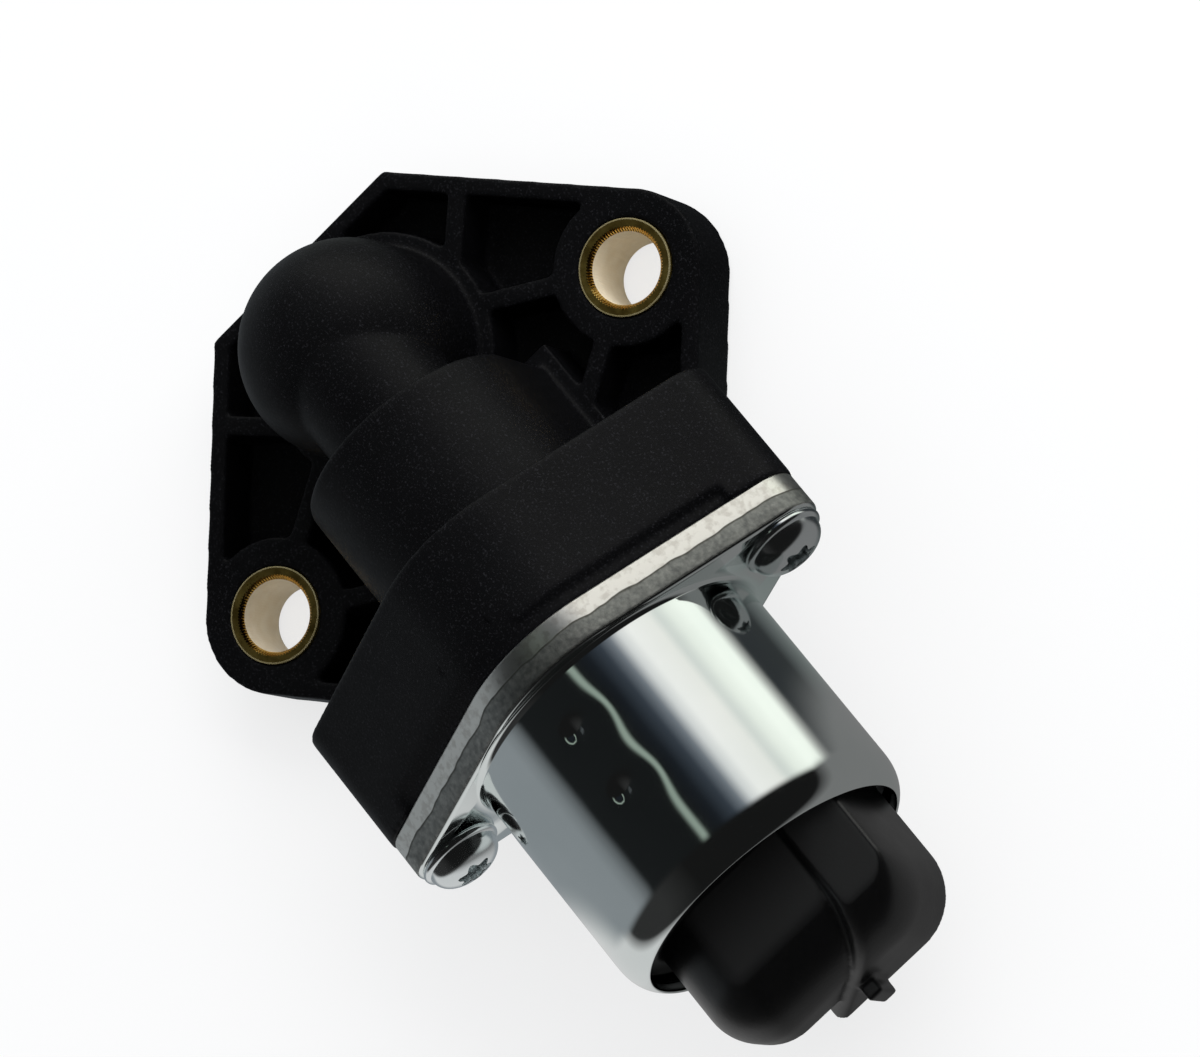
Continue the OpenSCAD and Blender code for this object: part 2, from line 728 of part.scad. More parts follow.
// Coil spring between the pintle's head and the nose, with the valve closed
module pintle_spring() {
    sides = 8;
    steps = 18;
    wire_r = wire_d / 2;
    free_len = nose_x - head_back_x - wire_d - 2 * seated;
    count = spring_turns * steps;
    points = [for (i = [0 : count]) let (turn = 360 * i / steps, rise = free_len * i / count)
        for (k = [0 : sides - 1]) let (a = 360 * k / sides, r = spring_r + wire_r * cos(a))
            [r * cos(turn), r * sin(turn), rise + wire_r * sin(a)]];
    walls = [for (i = [0 : count - 1]) for (k = [0 : sides - 1]) let (n = (k + 1) % sides)
        [i * sides + k, i * sides + n, (i + 1) * sides + n, (i + 1) * sides + k]];
    first = [for (k = [sides - 1 : -1 : 0]) k];
    last = [for (k = [0 : sides - 1]) count * sides + k];
    color(steel) on_axis(head_back_x + wire_r + seated) polyhedron(points, concat([first, last], walls));
}

// Rounded block of the connector, out of the can's mouth to end_x, with corners of radius r
module lobe_block(end_x, top, low, half_w, r) {
    hull() for (side = [-1, 1]) {
        translate([end_x - r, side * (half_w - r), axis_h + top - r]) sphere(r = r, $fn = soft_fn);
        translate([end_x - r, side * (half_w - r), axis_h - low])
            cylinder(r = r, h = low, $fn = soft_fn);
        translate([shoulder_x, side * (half_w - r), axis_h + top - r])
            rotate([0, 90, 0]) cylinder(r = r, h = can_end_x - shoulder_x, $fn = soft_fn);
        translate([can_end_x + loose * 4, side * (half_w - r) - r, axis_h - low])
            cube([end_x - can_end_x - r, 2 * r, low]);
    }
}

// Right hand side of the groove's line, seen from the end of the connector
module lobe_side(shift = 0) {
    half = conn_w / 2 + over;
    turn_z = conn_top * groove_turn_share;
    foot_y = conn_w * groove_foot_share / 2;
    on_axis(can_end_x - lobe_r) linear_extrude(conn_reach + lobe_step + lobe_r + over) polygon([
        [groove_at + shift, can_d], [groove_at + shift, turn_z], [foot_y + shift, -conn_top],
        [foot_y + shift, -can_d], [half, -can_d], [half, can_d]
    ]);
}

// Lobes of the connector in front of the can's mouth, and the floor of the groove between them
module connector_lobes() {
    difference() {
        lobe_block(conn_end_x, conn_top, conn_low, conn_w / 2, conn_r);
        lobe_side(-groove_w);
    }
    intersection() {
        lobe_block(conn_end_x + lobe_step, conn_top + lobe_rise, shroud_low, conn_w / 2, lobe_r);
        lobe_side();
    }
    lobe_block(conn_end_x - groove_w, conn_top - groove_w, conn_low, conn_w / 2 - groove_w, lobe_r);
}

// Black moulding that closes the can: a base disc with the rear bush, and the shroud of the socket
module connector_housing() {
    base_t = shoulder_x - base_x - loose;
    mouth = mouth_r - 3 * loose;
    socket_half_w = conn_w / 2 - socket_wall - lobe_r / 4;
    nib_w = pin_w * 2.2;
    nib_reach = socket_wall;
    color(body_black) difference() {
        union() {
            on_axis(base_x) cylinder(r = inner_r, h = base_t);
            intersection() {
                on_axis(base_x) cylinder(r = mouth, h = can_end_x + over - base_x);
                translate([base_x, -conn_w / 2, axis_h - conn_low])
                    cube([can_end_x + conn_r - base_x, conn_w, conn_low + conn_top]);
            }
            difference() {
                connector_lobes();
                on_axis(base_x) tube(can_d, mouth, can_end_x + 4 * loose - base_x);
            }
            // Nib that the plug's latch snaps over
            translate([conn_end_x + lobe_step - nib_reach, 0, axis_h - shroud_low * 0.8])
                cube([2 * nib_reach, nib_w, shroud_low * 0.7]);
        }
        translate([socket_x, -socket_half_w, axis_h - shroud_low - over])
            cube([conn_reach - 2 * socket_wall, 2 * socket_half_w, socket_depth + over]);
        on_axis(base_x - over) cylinder(r = bush_od / 2 + seated, h = bush_len * 0.7 + over);
        on_axis(base_x - over) cylinder(r = journal_d / 2, h = bush_len * 0.7 + 3 * over);
        for (i = [0 : 3]) terminal_shape(i, seated);
    }
}

// One bent terminal, grown by gap for the slot that it is moulded in
module terminal_shape(i, gap = 0) {
    y = (i - 1.5) * pin_pitch;
    pin_x = socket_x + (conn_reach - 2 * socket_wall) / 2;
    start_x = shoulder_x - socket_wall;
    low_z = axis_h + socket_top - pin_len;
    half = pin_w / 2 + gap;
    translate([start_x - gap, y - half, axis_h + pin_z - half])
        cube([pin_x - start_x + half + gap, 2 * half, 2 * half]);
    translate([pin_x - half, y - half, low_z]) cube([2 * half, 2 * half, axis_h + pin_z - low_z + half]);
}

module terminal_1() { color(brass) terminal_shape(0); }

module terminal_2() { color(brass) terminal_shape(1); }

module terminal_3() { color(brass) terminal_shape(2); }

module terminal_4() { color(brass) terminal_shape(3); }

valve_body();
sleeve_left();
sleeve_right();
port_seal_inlet();
port_seal_outlet();
motor_can();
screw_left();
screw_right();
nose_seal();
connector_housing();
terminal_1();
terminal_2();
terminal_3();
terminal_4();
motor_nose();
guide_bush();
rear_bush();
bearing_outer_ring();
bearing_inner_ring();
bearing_balls();
pole_cup_front();
pole_cup_rear();
pole_plate();
bobbin_front();
bobbin_rear();
winding_front();
winding_rear();
rotor_magnet();
rotor_hub();
spindle();
pintle();
pintle_spring();
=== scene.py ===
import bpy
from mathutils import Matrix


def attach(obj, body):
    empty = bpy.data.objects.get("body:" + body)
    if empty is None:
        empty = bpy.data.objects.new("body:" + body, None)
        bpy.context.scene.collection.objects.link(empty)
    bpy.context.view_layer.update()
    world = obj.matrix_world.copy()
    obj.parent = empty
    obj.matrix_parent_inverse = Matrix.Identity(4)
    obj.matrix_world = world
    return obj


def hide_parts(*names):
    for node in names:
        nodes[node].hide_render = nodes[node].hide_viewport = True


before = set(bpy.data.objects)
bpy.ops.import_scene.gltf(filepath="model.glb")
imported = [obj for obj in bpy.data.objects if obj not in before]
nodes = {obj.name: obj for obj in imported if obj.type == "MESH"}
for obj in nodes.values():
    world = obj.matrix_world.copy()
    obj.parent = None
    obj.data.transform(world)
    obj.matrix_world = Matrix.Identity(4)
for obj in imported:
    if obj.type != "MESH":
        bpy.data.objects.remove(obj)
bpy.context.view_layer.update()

import math

import bmesh
import bpy
from mathutils import Matrix, Vector

AXIS_Z = 0.0205

# The camera stands where the photograph was taken from: high over the connector's end and a little to
# the right of the motor, with a long lens.
camera = bpy.data.objects.new("camera", bpy.data.cameras.new("camera"))
bpy.context.scene.collection.objects.link(camera)
camera.location = (0.269701, 0.174526, 0.650959)
camera.rotation_euler = (0.1147230, 0.4231112, 0.8639817)
camera.data.sensor_width = 36.0
camera.data.lens = 189.944
camera.data.clip_start = 0.05
camera.data.clip_end = 30.0
bpy.context.scene.camera = camera

scene = bpy.context.scene
scene.view_settings.view_transform = "Standard"


# The studio: a white sweep of card under the valve, a wide softbox behind it, a smaller one in front,
# and a dim room above. The card keeps the shadow, and shows white to the camera.
def new_tree(name):
    material = bpy.data.materials.new(name)
    material.use_nodes = True
    tree = material.node_tree
    return material, tree, tree.nodes["Principled BSDF"]


def surround(tree, direction, ahead):
    """What a mirror sees, by the angle round the motor's axis: a grey card sweep, the dark room with one thin
    lamp, the wide softbox, and a dark gap under it. Rays that go forward along the axis see ahead instead."""
    def sum_of(operation, first, second):
        node = tree.nodes.new("ShaderNodeMath")
        node.operation = operation
        for socket, value in zip(node.inputs, (first, second)):
            if isinstance(value, float):
                socket.default_value = value
            else:
                tree.links.new(value, socket)
        return node.outputs[0]
    axes = tree.nodes.new("ShaderNodeSeparateXYZ")
    tree.links.new(direction, axes.inputs[0])
    across = axes.outputs["Y"]
    turn = sum_of("ADD", sum_of("DIVIDE", sum_of("ARCTAN2", across, axes.outputs["Z"]), 2 * math.pi), 0.5)
    ramp = tree.nodes.new("ShaderNodeValToRGB")
    stops = [(-180, 0.30, 0.92, 1.06), (-119, 0.28, 0.92, 1.06), (-71, 0.27, 0.92, 1.06), (-63, 0.22, 0.92, 1.06),
             (-56, 0.13, 0.92, 1.06), (-50, 0.012, 0.9, 1.05), (-2, 0.010, 0.9, 1.05), (0.5, 0.36, 0.83, 0.86),
             (3, 0.36, 0.83, 0.86), (5.5, 0.010, 0.9, 1.1), (16, 0.014, 0.8, 1.3), (27, 0.05, 0.8, 1.3),
             (35, 0.20, 0.9, 1.15), (42, 0.75, 1.0, 1.0), (50, 1.0, 1.02, 0.97), (66, 0.95, 1.02, 0.95),
             (72, 0.80, 0.97, 0.95), (75, 0.84, 0.97, 0.94), (81, 1.0, 0.97, 0.92), (92, 1.15, 0.97, 0.92),
             (100, 1.15, 0.97, 0.92), (105, 0.5, 1.0, 0.95), (110, 0.035, 0.9, 1.1), (129, 0.04, 0.9, 1.05),
             (137, 0.12, 0.9, 1.0), (147, 0.19, 0.9, 0.98), (161, 0.25, 0.92, 0.98), (180, 0.30, 0.92, 1.0)]
    ramp.color_ramp.elements[0].position = 0.0
    ramp.color_ramp.elements[1].position = 1.0
    for number, (degrees, level, red, blue) in enumerate(stops):
        if number == 0:
            stop = ramp.color_ramp.elements[0]
        elif number == len(stops) - 1:
            stop = ramp.color_ramp.elements[len(ramp.color_ramp.elements) - 1]
        else:
            stop = ramp.color_ramp.elements.new((degrees + 180) / 360)
        stop.color = (level * red, level, level * blue, 1)
    tree.links.new(turn, ramp.inputs[0])
    forward = tree.nodes.new("ShaderNodeMapRange")
    forward.interpolation_type = "SMOOTHSTEP"
    forward.inputs["From Min"].default_value = -0.27
    forward.inputs["From Max"].default_value = -0.08
    tree.links.new(axes.outputs["X"], forward.inputs["Value"])
    mix = tree.nodes.new("ShaderNodeMix")
    mix.data_type = "RGBA"
    tree.links.new(forward.outputs["Result"], mix.inputs["Factor"])
    tree.links.new(ramp.outputs["Color"], mix.inputs["A"])
    side = tree.nodes.new("ShaderNodeMapRange")
    side.inputs["From Min"].default_value = -0.75
    side.inputs["From Max"].default_value = -0.35
    side.inputs["To Min"].default_value = ahead
    side.inputs["To Max"].default_value = ahead * 0.3
    tree.links.new(across, side.inputs["Value"])
    below = tree.nodes.new("ShaderNodeMapRange")
    below.inputs["From Min"].default_value = -0.18
    below.inputs["From Max"].default_value = 0.04
    below.inputs["To Min"].default_value = 1.0
    below.inputs["To Max"].default_value = 0.06
    tree.links.new(axes.outputs["Z"], below.inputs["Value"])
    tree.links.new(sum_of("MULTIPLY", side.outputs["Result"], below.outputs["Result"]), mix.inputs["B"])
    return mix.outputs["Result"]


def white_to_camera(tree, surface, output):
    """The card keeps its shadow for the camera and for soft light; mirrors see the surround on it."""
    seen = tree.nodes.new("ShaderNodeLightPath")
    place = tree.nodes.new("ShaderNodeTexCoord")
    away = tree.nodes.new("ShaderNodeVectorMath")
    away.operation = "SUBTRACT"
    away.inputs[1].default_value = (0.055, 0.0, 0.030)
    tree.links.new(place.outputs["Object"], away.inputs[0])
    toward = tree.nodes.new("ShaderNodeVectorMath")
    toward.operation = "NORMALIZE"
    tree.links.new(away.outputs[0], toward.inputs[0])
    glow = tree.nodes.new("ShaderNodeEmission")
    tree.links.new(surround(tree, toward.outputs[0], 0.66), glow.inputs["Color"])
    either = tree.nodes.new("ShaderNodeMath")
    either.operation = "MAXIMUM"
    tree.links.new(seen.outputs["Is Glossy Ray"], either.inputs[0])
    tree.links.new(seen.outputs["Is Transmission Ray"], either.inputs[1])
    white = tree.nodes.new("ShaderNodeEmission")
    share = tree.nodes.new("ShaderNodeMath")
    share.operation = "MULTIPLY"
    share.inputs[1].default_value = 0.72
    tree.links.new(seen.outputs["Is Camera Ray"], share.inputs[0])
    lit = tree.nodes.new("ShaderNodeMixShader")
    tree.links.new(share.outputs[0], lit.inputs["Fac"])
    tree.links.new(surface, lit.inputs[1])
    tree.links.new(white.outputs[0], lit.inputs[2])
    mix = tree.nodes.new("ShaderNodeMixShader")
    tree.links.new(either.outputs[0], mix.inputs["Fac"])
    tree.links.new(lit.outputs[0], mix.inputs[1])
    tree.links.new(glow.outputs[0], mix.inputs[2])
    tree.links.new(mix.outputs[0], output)


floor_mesh = bmesh.new()
bmesh.ops.create_grid(floor_mesh, x_segments=1, y_segments=1, size=6.0)
bmesh.ops.translate(floor_mesh, verts=floor_mesh.verts, vec=(0, 0, -0.0004))
floor_data = bpy.data.meshes.new("floor")
floor_mesh.to_mesh(floor_data)
floor_mesh.free()
floor = bpy.data.objects.new("floor", floor_data)
scene.collection.objects.link(floor)
card, card_tree, card_shader = new_tree("white_card")
card_shader.inputs["Base Color"].default_value = (0.93, 0.93, 0.93, 1)
card_shader.inputs["Roughness"].default_value = 0.9
card_shader.inputs["Specular IOR Level"].default_value = 0.0
card.cycles.emission_sampling = "NONE"
floor_data.materials.append(card)

world = bpy.data.worlds.new("studio")
scene.world = world
world.use_nodes = True
world.cycles.sampling_method = "NONE"
room = world.node_tree
for node in list(room.nodes):
    room.nodes.remove(node)
out = room.nodes.new("ShaderNodeOutputWorld")
seen = room.nodes.new("ShaderNodeLightPath")
place = room.nodes.new("ShaderNodeTexCoord")
mirror_sky = room.nodes.new("ShaderNodeBackground")
room.links.new(surround(room, place.outputs["Generated"], 0.5), mirror_sky.inputs["Color"])
soft_sky = room.nodes.new("ShaderNodeBackground")
soft_sky.inputs["Color"].default_value = (0.95, 0.97, 1.0, 1)
key_side = room.nodes.new("ShaderNodeVectorMath")
key_side.operation = "DOT_PRODUCT"
key_side.inputs[1].default_value = (-0.55, 0.50, 0.67)
room.links.new(place.outputs["Generated"], key_side.inputs[0])
key_level = room.nodes.new("ShaderNodeMapRange")
key_level.inputs["From Min"].default_value = -0.3
key_level.inputs["From Max"].default_value = 1.0
key_level.inputs["To Min"].default_value = 0.10
key_level.inputs["To Max"].default_value = 1.15
room.links.new(key_side.outputs["Value"], key_level.inputs["Value"])
room.links.new(key_level.outputs["Result"], soft_sky.inputs["Strength"])
white_sky = room.nodes.new("ShaderNodeBackground")
white_sky.inputs["Color"].default_value = (1, 1, 1, 1)
glossy = room.nodes.new("ShaderNodeMixShader")
room.links.new(seen.outputs["Is Glossy Ray"], glossy.inputs["Fac"])
room.links.new(soft_sky.outputs[0], glossy.inputs[1])
room.links.new(mirror_sky.outputs[0], glossy.inputs[2])
direct = room.nodes.new("ShaderNodeMixShader")
room.links.new(seen.outputs["Is Camera Ray"], direct.inputs["Fac"])
room.links.new(glossy.outputs[0], direct.inputs[1])
room.links.new(white_sky.outputs[0], direct.inputs[2])
room.links.new(direct.outputs[0], out.inputs["Surface"])


def softbox(name, place, target, wide, high, power):
    data = bpy.data.lights.new(name, "AREA")
    data.shape = "RECTANGLE"
    data.size = wide
    data.size_y = high
    data.energy = power
    lamp = bpy.data.objects.new(name, data)
    scene.collection.objects.link(lamp)
    lamp.location = place
    lamp.rotation_euler = (Vector(target) - Vector(place)).to_track_quat("-Z", "Y").to_euler()
    lamp.visible_glossy = False
    return lamp


softbox("softbox_back", (-0.30, 0.80, 0.62), (0.03, 0, 0.02), 1.3, 0.75, 9.0)
softbox("softbox_front", (0.75, -0.75, 0.75), (0.03, 0, 0.02), 0.6, 0.6, 1.0)


# Near black glass filled nylon. The moulding has a fine satin grain, and the flow of the melt leaves it
# a little glossier in some places than in others.
def object_coords(tree):
    return tree.nodes.new("ShaderNodeTexCoord").outputs["Object"]


def noise(tree, coords, scale, detail=3.0):
    node = tree.nodes.new("ShaderNodeTexNoise")
    node.inputs["Scale"].default_value = scale
    node.inputs["Detail"].default_value = detail
    tree.links.new(coords, node.inputs["Vector"])
    return node.outputs["Fac"]


def spread(tree, factor, low, high, start=0.3, stop=0.7):
    node = tree.nodes.new("ShaderNodeMapRange")
    node.inputs["From Min"].default_value = start
    node.inputs["From Max"].default_value = stop
    node.inputs["To Min"].default_value = low
    node.inputs["To Max"].default_value = high
    tree.links.new(factor, node.inputs["Value"])
    return node.outputs["Result"]


def tint(tree, factor, first, second):
    node = tree.nodes.new("ShaderNodeMix")
    node.data_type = "RGBA"
    tree.links.new(factor, node.inputs["Factor"])
    node.inputs["A"].default_value = (*first, 1)
    node.inputs["B"].default_value = (*second, 1)
    return node.outputs["Result"]


def relief(tree, shader, height, depth):
    node = tree.nodes.new("ShaderNodeBump")
    node.inputs["Strength"].default_value = 1.0
    node.inputs["Distance"].default_value = depth
    tree.links.new(height, node.inputs["Height"])
    if shader.inputs["Normal"].is_linked:
        tree.links.new(shader.inputs["Normal"].links[0].from_socket, node.inputs["Normal"])
    tree.links.new(node.outputs["Normal"], shader.inputs["Normal"])


def moulded_plastic(name, dark, light, gloss_low, gloss_high, grain=0.000012, sheen=0.5, speckle=1.5, level=0.0):
    material, tree, shader = new_tree(name)
    shader.inputs["Specular IOR Level"].default_value = sheen
    coords = object_coords(tree)
    flow = noise(tree, coords, 60.0, 4.0)
    speck = tree.nodes.new("ShaderNodeMix")
    speck.data_type = "RGBA"
    tree.links.new(spread(tree, noise(tree, coords, 4200.0, 1.0), 0, 1, 0.58, 0.80), speck.inputs["Factor"])
    tree.links.new(tint(tree, spread(tree, flow, 0, 1), dark, light), speck.inputs["A"])
    speck.inputs["B"].default_value = (*[speckle * part for part in light], 1)
    # With level set, faces whose normal points up get the level colour: painted light that makes the flat tops look
    # lit from above.
    if level:
        shape = tree.nodes.new("ShaderNodeNewGeometry")
        split = tree.nodes.new("ShaderNodeSeparateXYZ")
        tree.links.new(shape.outputs["Normal"], split.inputs[0])
        painted_top_light = tree.nodes.new("ShaderNodeMix")
        painted_top_light.data_type = "RGBA"
        tree.links.new(spread(tree, split.outputs["Z"], 0, 1, 0.955, 0.992), painted_top_light.inputs["Factor"])
        tree.links.new(speck.outputs["Result"], painted_top_light.inputs["A"])
        painted_top_light.inputs["B"].default_value = (level, level, level, 1)
        tree.links.new(painted_top_light.outputs["Result"], shader.inputs["Base Color"])
    else:
        tree.links.new(speck.outputs["Result"], shader.inputs["Base Color"])
    tree.links.new(spread(tree, noise(tree, coords, 240.0), gloss_low, gloss_high), shader.inputs["Roughness"])
    relief(tree, shader, noise(tree, coords, 2600.0, 2.0), grain)
    return material


def dress(obj, material):
    obj.data.materials.clear()
    obj.data.materials.append(material)


def soft_moulding(name, mesh, node, voxel, passes, most):
    """Turns a mesh into the piece for a CAD node, with edges and corners rounded as a mould rounds them."""
    clean = bmesh.new()
    clean.from_mesh(mesh)
    bmesh.ops.remove_doubles(clean, verts=clean.verts, dist=1e-6)
    clean.to_mesh(mesh)
    clean.free()
    rough = bpy.data.objects.new(name + "_rough", mesh)
    scene.collection.objects.link(rough)
    remesh = rough.modifiers.new("remesh", "REMESH")
    remesh.mode = "VOXEL"
    remesh.voxel_size = voxel
    smooth = rough.modifiers.new("smooth", "SMOOTH")
    smooth.factor = 0.5
    smooth.iterations = passes
    bpy.context.view_layer.update()
    evaluated = rough.evaluated_get(bpy.context.evaluated_depsgraph_get())
    count = sum(len(p.vertices) - 2 for p in evaluated.data.polygons)
    thin = rough.modifiers.new("thin", "DECIMATE")
    thin.ratio = min(1.0, most / count)
    bpy.context.view_layer.update()
    evaluated = rough.evaluated_get(bpy.context.evaluated_depsgraph_get())
    data = bpy.data.meshes.new_from_object(evaluated)
    data.name = name
    bpy.data.objects.remove(rough)
    piece = bpy.data.objects.new(name, data)
    scene.collection.objects.link(piece)
    for polygon in data.polygons:
        polygon.use_smooth = True
    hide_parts(node)
    print(name, count, len(data.polygons))
    return piece


body_black = moulded_plastic("moulded_black", (0.0024, 0.0024, 0.0029), (0.0033, 0.0033, 0.0039), 0.46, 0.52,
                             grain=0.000022, sheen=0.16, speckle=4.5)
valve_moulding = soft_moulding("valve_moulding", nodes["valve_body"].data.copy(), "valve_body", 0.00034, 8, 196000)
worn = bmesh.new()
worn.from_mesh(valve_moulding.data)
step_edge = [vert for vert in worn.verts if 0.0318 < vert.co.x < 0.0349 and vert.co.z > 0.0245 and vert.co.y < 0.002]
for sweep in range(40):
    bmesh.ops.smooth_vert(worn, verts=step_edge, factor=0.5, use_axis_x=True, use_axis_y=True, use_axis_z=True)
worn.to_mesh(valve_moulding.data)
worn.free()
dress(valve_moulding, body_black)
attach(valve_moulding, "housing")

# level lightens the connector's up-facing flat tops: painted light from above.
connector_black = moulded_plastic("connector_black", (0.0018, 0.0018, 0.0020), (0.0026, 0.0026, 0.0028), 0.34, 0.40,
                                  sheen=0.85, speckle=2.0, level=0.0150)


# The connector: two lobes with flat tops and broad roundings that meet in a soft slanted groove, a base disc
# behind them in the can, the nib for the plug's latch, and the socket that opens downwards.
def ring_of(mesh, places):
    return [mesh.verts.new(place) for place in places]


def loop_edges(mesh, ring):
    return [mesh.edges.get((ring[i], ring[(i + 1) % len(ring)])) or
            mesh.edges.new((ring[i], ring[(i + 1) % len(ring)])) for i in range(len(ring))]


def join_rings(mesh, low, high, material=0):
    made = bmesh.ops.bridge_loops(mesh, edges=loop_edges(mesh, low) + loop_edges(mesh, high))
    for face in made["faces"]:
        face.material_index = material


def rounded_plan(x_back, x_end, y_low, y_high, r_low, r_high, z, steps=14):
    places = [(x_back, y_low, z)]
    for step in range(steps + 1):
        turn = math.radians(90 * step / steps)
        places.append((x_end - r_low + r_low * math.sin(turn), y_low + r_low - r_low * math.cos(turn), z))
    for step in range(steps + 1):
        turn = math.radians(90 * step / steps)
        places.append((x_end - r_high + r_high * math.cos(turn), y_high - r_high + r_high * math.sin(turn), z))
    places.append((x_back, y_high, z))
    return places


def add_lobe(mesh, x_end, top, low, side, round_end, round_side, drop):
    """One lobe, stacked from its bottom: side is -1 for the left lobe and 1 for the right one."""
    rings = []
    levels = [low + (top - drop - low) * step / 8 for step in range(8)]
    levels += [top - drop + drop * math.sin(math.radians(90 * step / 20)) for step in range(21)]
    for z in levels:
        share = max(0.0, (z - top + drop) / drop)
        grow = 1 - math.sqrt(max(0.0, 1 - share * share))
        lip = max(0.0, (z - top + 0.0010) / 0.0010)
        edge = 0.0010 * (1 - math.sqrt(max(0.0, 1 - lip * lip)))
        divide = 0.0066 - 0.85 * max(0.0, 0.0282 - z)
        end = x_end - round_end * grow
        if side < 0:
            y_low, y_high = -0.0144 + round_side * grow, divide + 0.00015 - edge
        else:
            y_low, y_high = divide - 0.00015 + edge, 0.0144 - round_side * grow
        soft, tight = max(0.0004, 0.0068 - 0.9 * round_end * grow), 0.0013
        radii = (soft, tight) if side < 0 else (tight, soft)
        rings.append(ring_of(mesh, rounded_plan(0.0658, end, y_low, y_high, *radii, z)))
    for first, second in zip(rings, rings[1:]):
        join_rings(mesh, first, second)
    for ring in (rings[0], rings[-1]):
        bmesh.ops.contextual_create(mesh, geom=loop_edges(mesh, ring))


def add_box(mesh, low, high):
    made = bmesh.ops.create_cube(mesh, size=1.0)["verts"]
    bmesh.ops.scale(mesh, verts=made, vec=[high[k] - low[k] for k in range(3)])
    bmesh.ops.translate(mesh, verts=made, vec=[(high[k] + low[k]) / 2 for k in range(3)])


def cut_out(name, solid, tool):
    """Cuts the bmesh tool out of the bmesh solid and returns the mesh data."""
    pieces = []
    for part in (solid, tool):
        bmesh.ops.recalc_face_normals(part, faces=part.faces)
        data = bpy.data.meshes.new(name)
        part.to_mesh(data)
        part.free()
        pieces.append(bpy.data.objects.new(name, data))
        scene.collection.objects.link(pieces[-1])
    cut = pieces[0].modifiers.new("cut", "BOOLEAN")
    cut.operation = "DIFFERENCE"
    cut.solver = "EXACT"
    cut.use_self = True
    cut.object = pieces[1]
    bpy.context.view_layer.update()
    graph = bpy.context.evaluated_depsgraph_get()
    data = bpy.data.meshes.new_from_object(pieces[0].evaluated_get(graph))
    for piece in pieces:
        bpy.data.objects.remove(piece)
    return data


def turn_x(mesh, profile, count, centre_y=0.0, closed=False):
    """Spins (x, radius) pairs round an axis along X. A pair with radius 0 closes the end."""
    line = [mesh.verts.new((x, centre_y + r, AXIS_Z)) for x, r in profile]
    edges = [mesh.edges.new(pair) for pair in zip(line, line[1:])]
    if closed:
        edges.append(mesh.edges.new((line[-1], line[0])))
    bmesh.ops.spin(mesh, geom=line + edges, cent=(0, centre_y, AXIS_Z), axis=(1, 0, 0), angle=2 * math.pi,
                   steps=count, use_merge=True)
    bmesh.ops.remove_doubles(mesh, verts=mesh.verts, dist=1e-7)


mesh = bmesh.new()
turn_x(mesh, ((0.0613, 0.00425), (0.0613, 0.0173), (0.0659, 0.0173), (0.0659, 0.00425)), 120, closed=True)
add_lobe(mesh, 0.0820, 0.0280, 0.0175, -1, 0.0084, 0.0092, 0.0072)
add_lobe(mesh, 0.0830, 0.0288, 0.0141, 1, 0.0062, 0.0007, 0.0070)
add_box(mesh, (0.0815, 0.0002, 0.0154), (0.0850, 0.0022, 0.0199))
socket = bmesh.new()
add_box(socket, (0.0708, -0.0104, 0.0120), (0.0800, 0.0104, 0.0251))
bmesh.ops.bevel(socket, geom=[edge for edge in socket.edges if max(vert.co.z for vert in edge.verts) > 0.02],
                offset=0.0022, offset_type="OFFSET", segments=4, profile=0.5, affect="EDGES", material=-1)
connector_moulding = soft_moulding("connector_moulding", cut_out("connector_blank", mesh, socket),
                                   "connector_housing", 0.00026, 4, 170000)
dress(connector_moulding, connector_black)
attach(connector_moulding, "housing")


# Zinc plated steel: bright, with a blue green cast and small differences in gloss.
def plated_steel(name, first, second, gloss_low, gloss_high, grain, fine=900.0):
    material, tree, shader = new_tree(name)
    coords = object_coords(tree)
    shader.inputs["Metallic"].default_value = 1.0
    tree.links.new(tint(tree, spread(tree, noise(tree, coords, 90.0), 0, 1), first, second),
                   shader.inputs["Base Color"])
    tree.links.new(spread(tree, noise(tree, coords, 300.0, 3.0), gloss_low, gloss_high), shader.inputs["Roughness"])
    relief(tree, shader, noise(tree, coords, fine, 3.0), grain)
    return material


def new_piece(name, mesh, node, materials, body="housing"):
    """Turns a bmesh into a smooth shaded piece that stands for a CAD node."""
    bmesh.ops.recalc_face_normals(mesh, faces=mesh.faces)
    data = bpy.data.meshes.new(name)
    mesh.to_mesh(data)
    mesh.free()
    for polygon in data.polygons:
        polygon.use_smooth = True
    for material in materials:
        data.materials.append(material)
    piece = bpy.data.objects.new(name, data)
    scene.collection.objects.link(piece)
    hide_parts(node)
    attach(piece, body)
    return piece


def fill_between(mesh, x):
    """Fills between all open loops that lie in one plane across the axis."""
    edges = [edge for edge in mesh.edges
             if len(edge.link_faces) < 2 and all(abs(vert.co.x - x) < 1e-6 for vert in edge.verts)]
    bmesh.ops.triangle_fill(mesh, edges=edges, use_beauty=True, use_dissolve=False)


# The motor can: a drawn steel cup whose thick two ear flange was cut out with a press, so its edge is half
# burnished and half torn, with a rolled shoulder, a small root fillet and shallow staking dents.
STEEL_X, CAN_X, CAN_END, CAN_R = 0.0354, 0.0402, 0.0688, 0.0185
SCREW_Y, EAR_R, APEX_R, APEX_Z, ROOT_R = 0.0254, 0.0052, 0.0148, 0.0054, 0.0007


def flange_ring(mesh, x, inset, count=360):
    places = []
    for i in range(count):
        angle = 2 * math.pi * (i + 0.5) / count
        normal = Vector((math.cos(angle), math.sin(angle)))
        rounds = [(SCREW_Y, 0, EAR_R), (-SCREW_Y, 0, EAR_R), (0, APEX_Z, APEX_R), (0, -APEX_Z, APEX_R)]
        y, z, r = max(rounds, key=lambda c: c[0] * normal.x + c[1] * normal.y + c[2])
        places.append((x, y + (r - inset) * normal.x, AXIS_Z + z + (r - inset) * normal.y))
    return ring_of(mesh, places)


